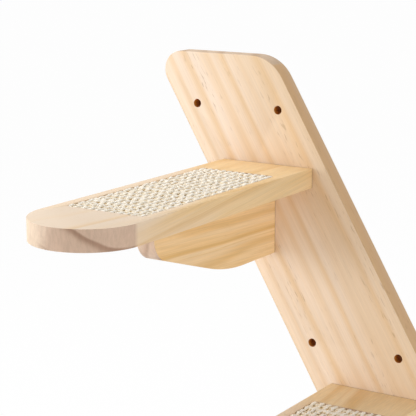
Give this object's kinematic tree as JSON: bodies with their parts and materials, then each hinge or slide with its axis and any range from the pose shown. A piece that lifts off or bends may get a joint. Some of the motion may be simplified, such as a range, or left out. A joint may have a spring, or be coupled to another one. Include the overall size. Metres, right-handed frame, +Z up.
{
  "type": "cat wall shelf",
  "caption": "Slanted wooden wall board with round-nosed cat steps on braces, each with a woven sisal mat let into its top.",
  "frame": {"origin": "middle of the board's back face, on the wall", "axes": "+X right as seen from the room, +Y into the wall, +Z up; the steps stand out along -Y"},
  "size_m": [0.417, 0.335, 0.527],
  "materials": {
    "board_wood": "bare sanded pine",
    "tread_wood": "bare sanded pine",
    "brace_wood": "bare sanded pine",
    "mat_backing": "matte latex",
    "sisal": "woven natural fibre",
    "screw_steel": "zinc plated",
    "dowel_wood": "bare beech"
  },
  "bodies": {
    "root": {"backboard": "board_wood", "upper_tread": "tread_wood", "upper_brace": "brace_wood", "upper_mat_backing": "mat_backing", "upper_sisal_mat": "sisal", "upper_tread_screws": "screw_steel", "upper_brace_screws": "screw_steel", "upper_tread_dowels": "dowel_wood", "upper_brace_dowels": "dowel_wood", "lower_tread": "tread_wood", "lower_brace": "brace_wood", "lower_mat_backing": "mat_backing", "lower_sisal_mat": "sisal", "lower_tread_screws": "screw_steel", "lower_brace_screws": "screw_steel", "lower_tread_dowels": "dowel_wood", "lower_brace_dowels": "dowel_wood"}
  },
  "joints": []
}
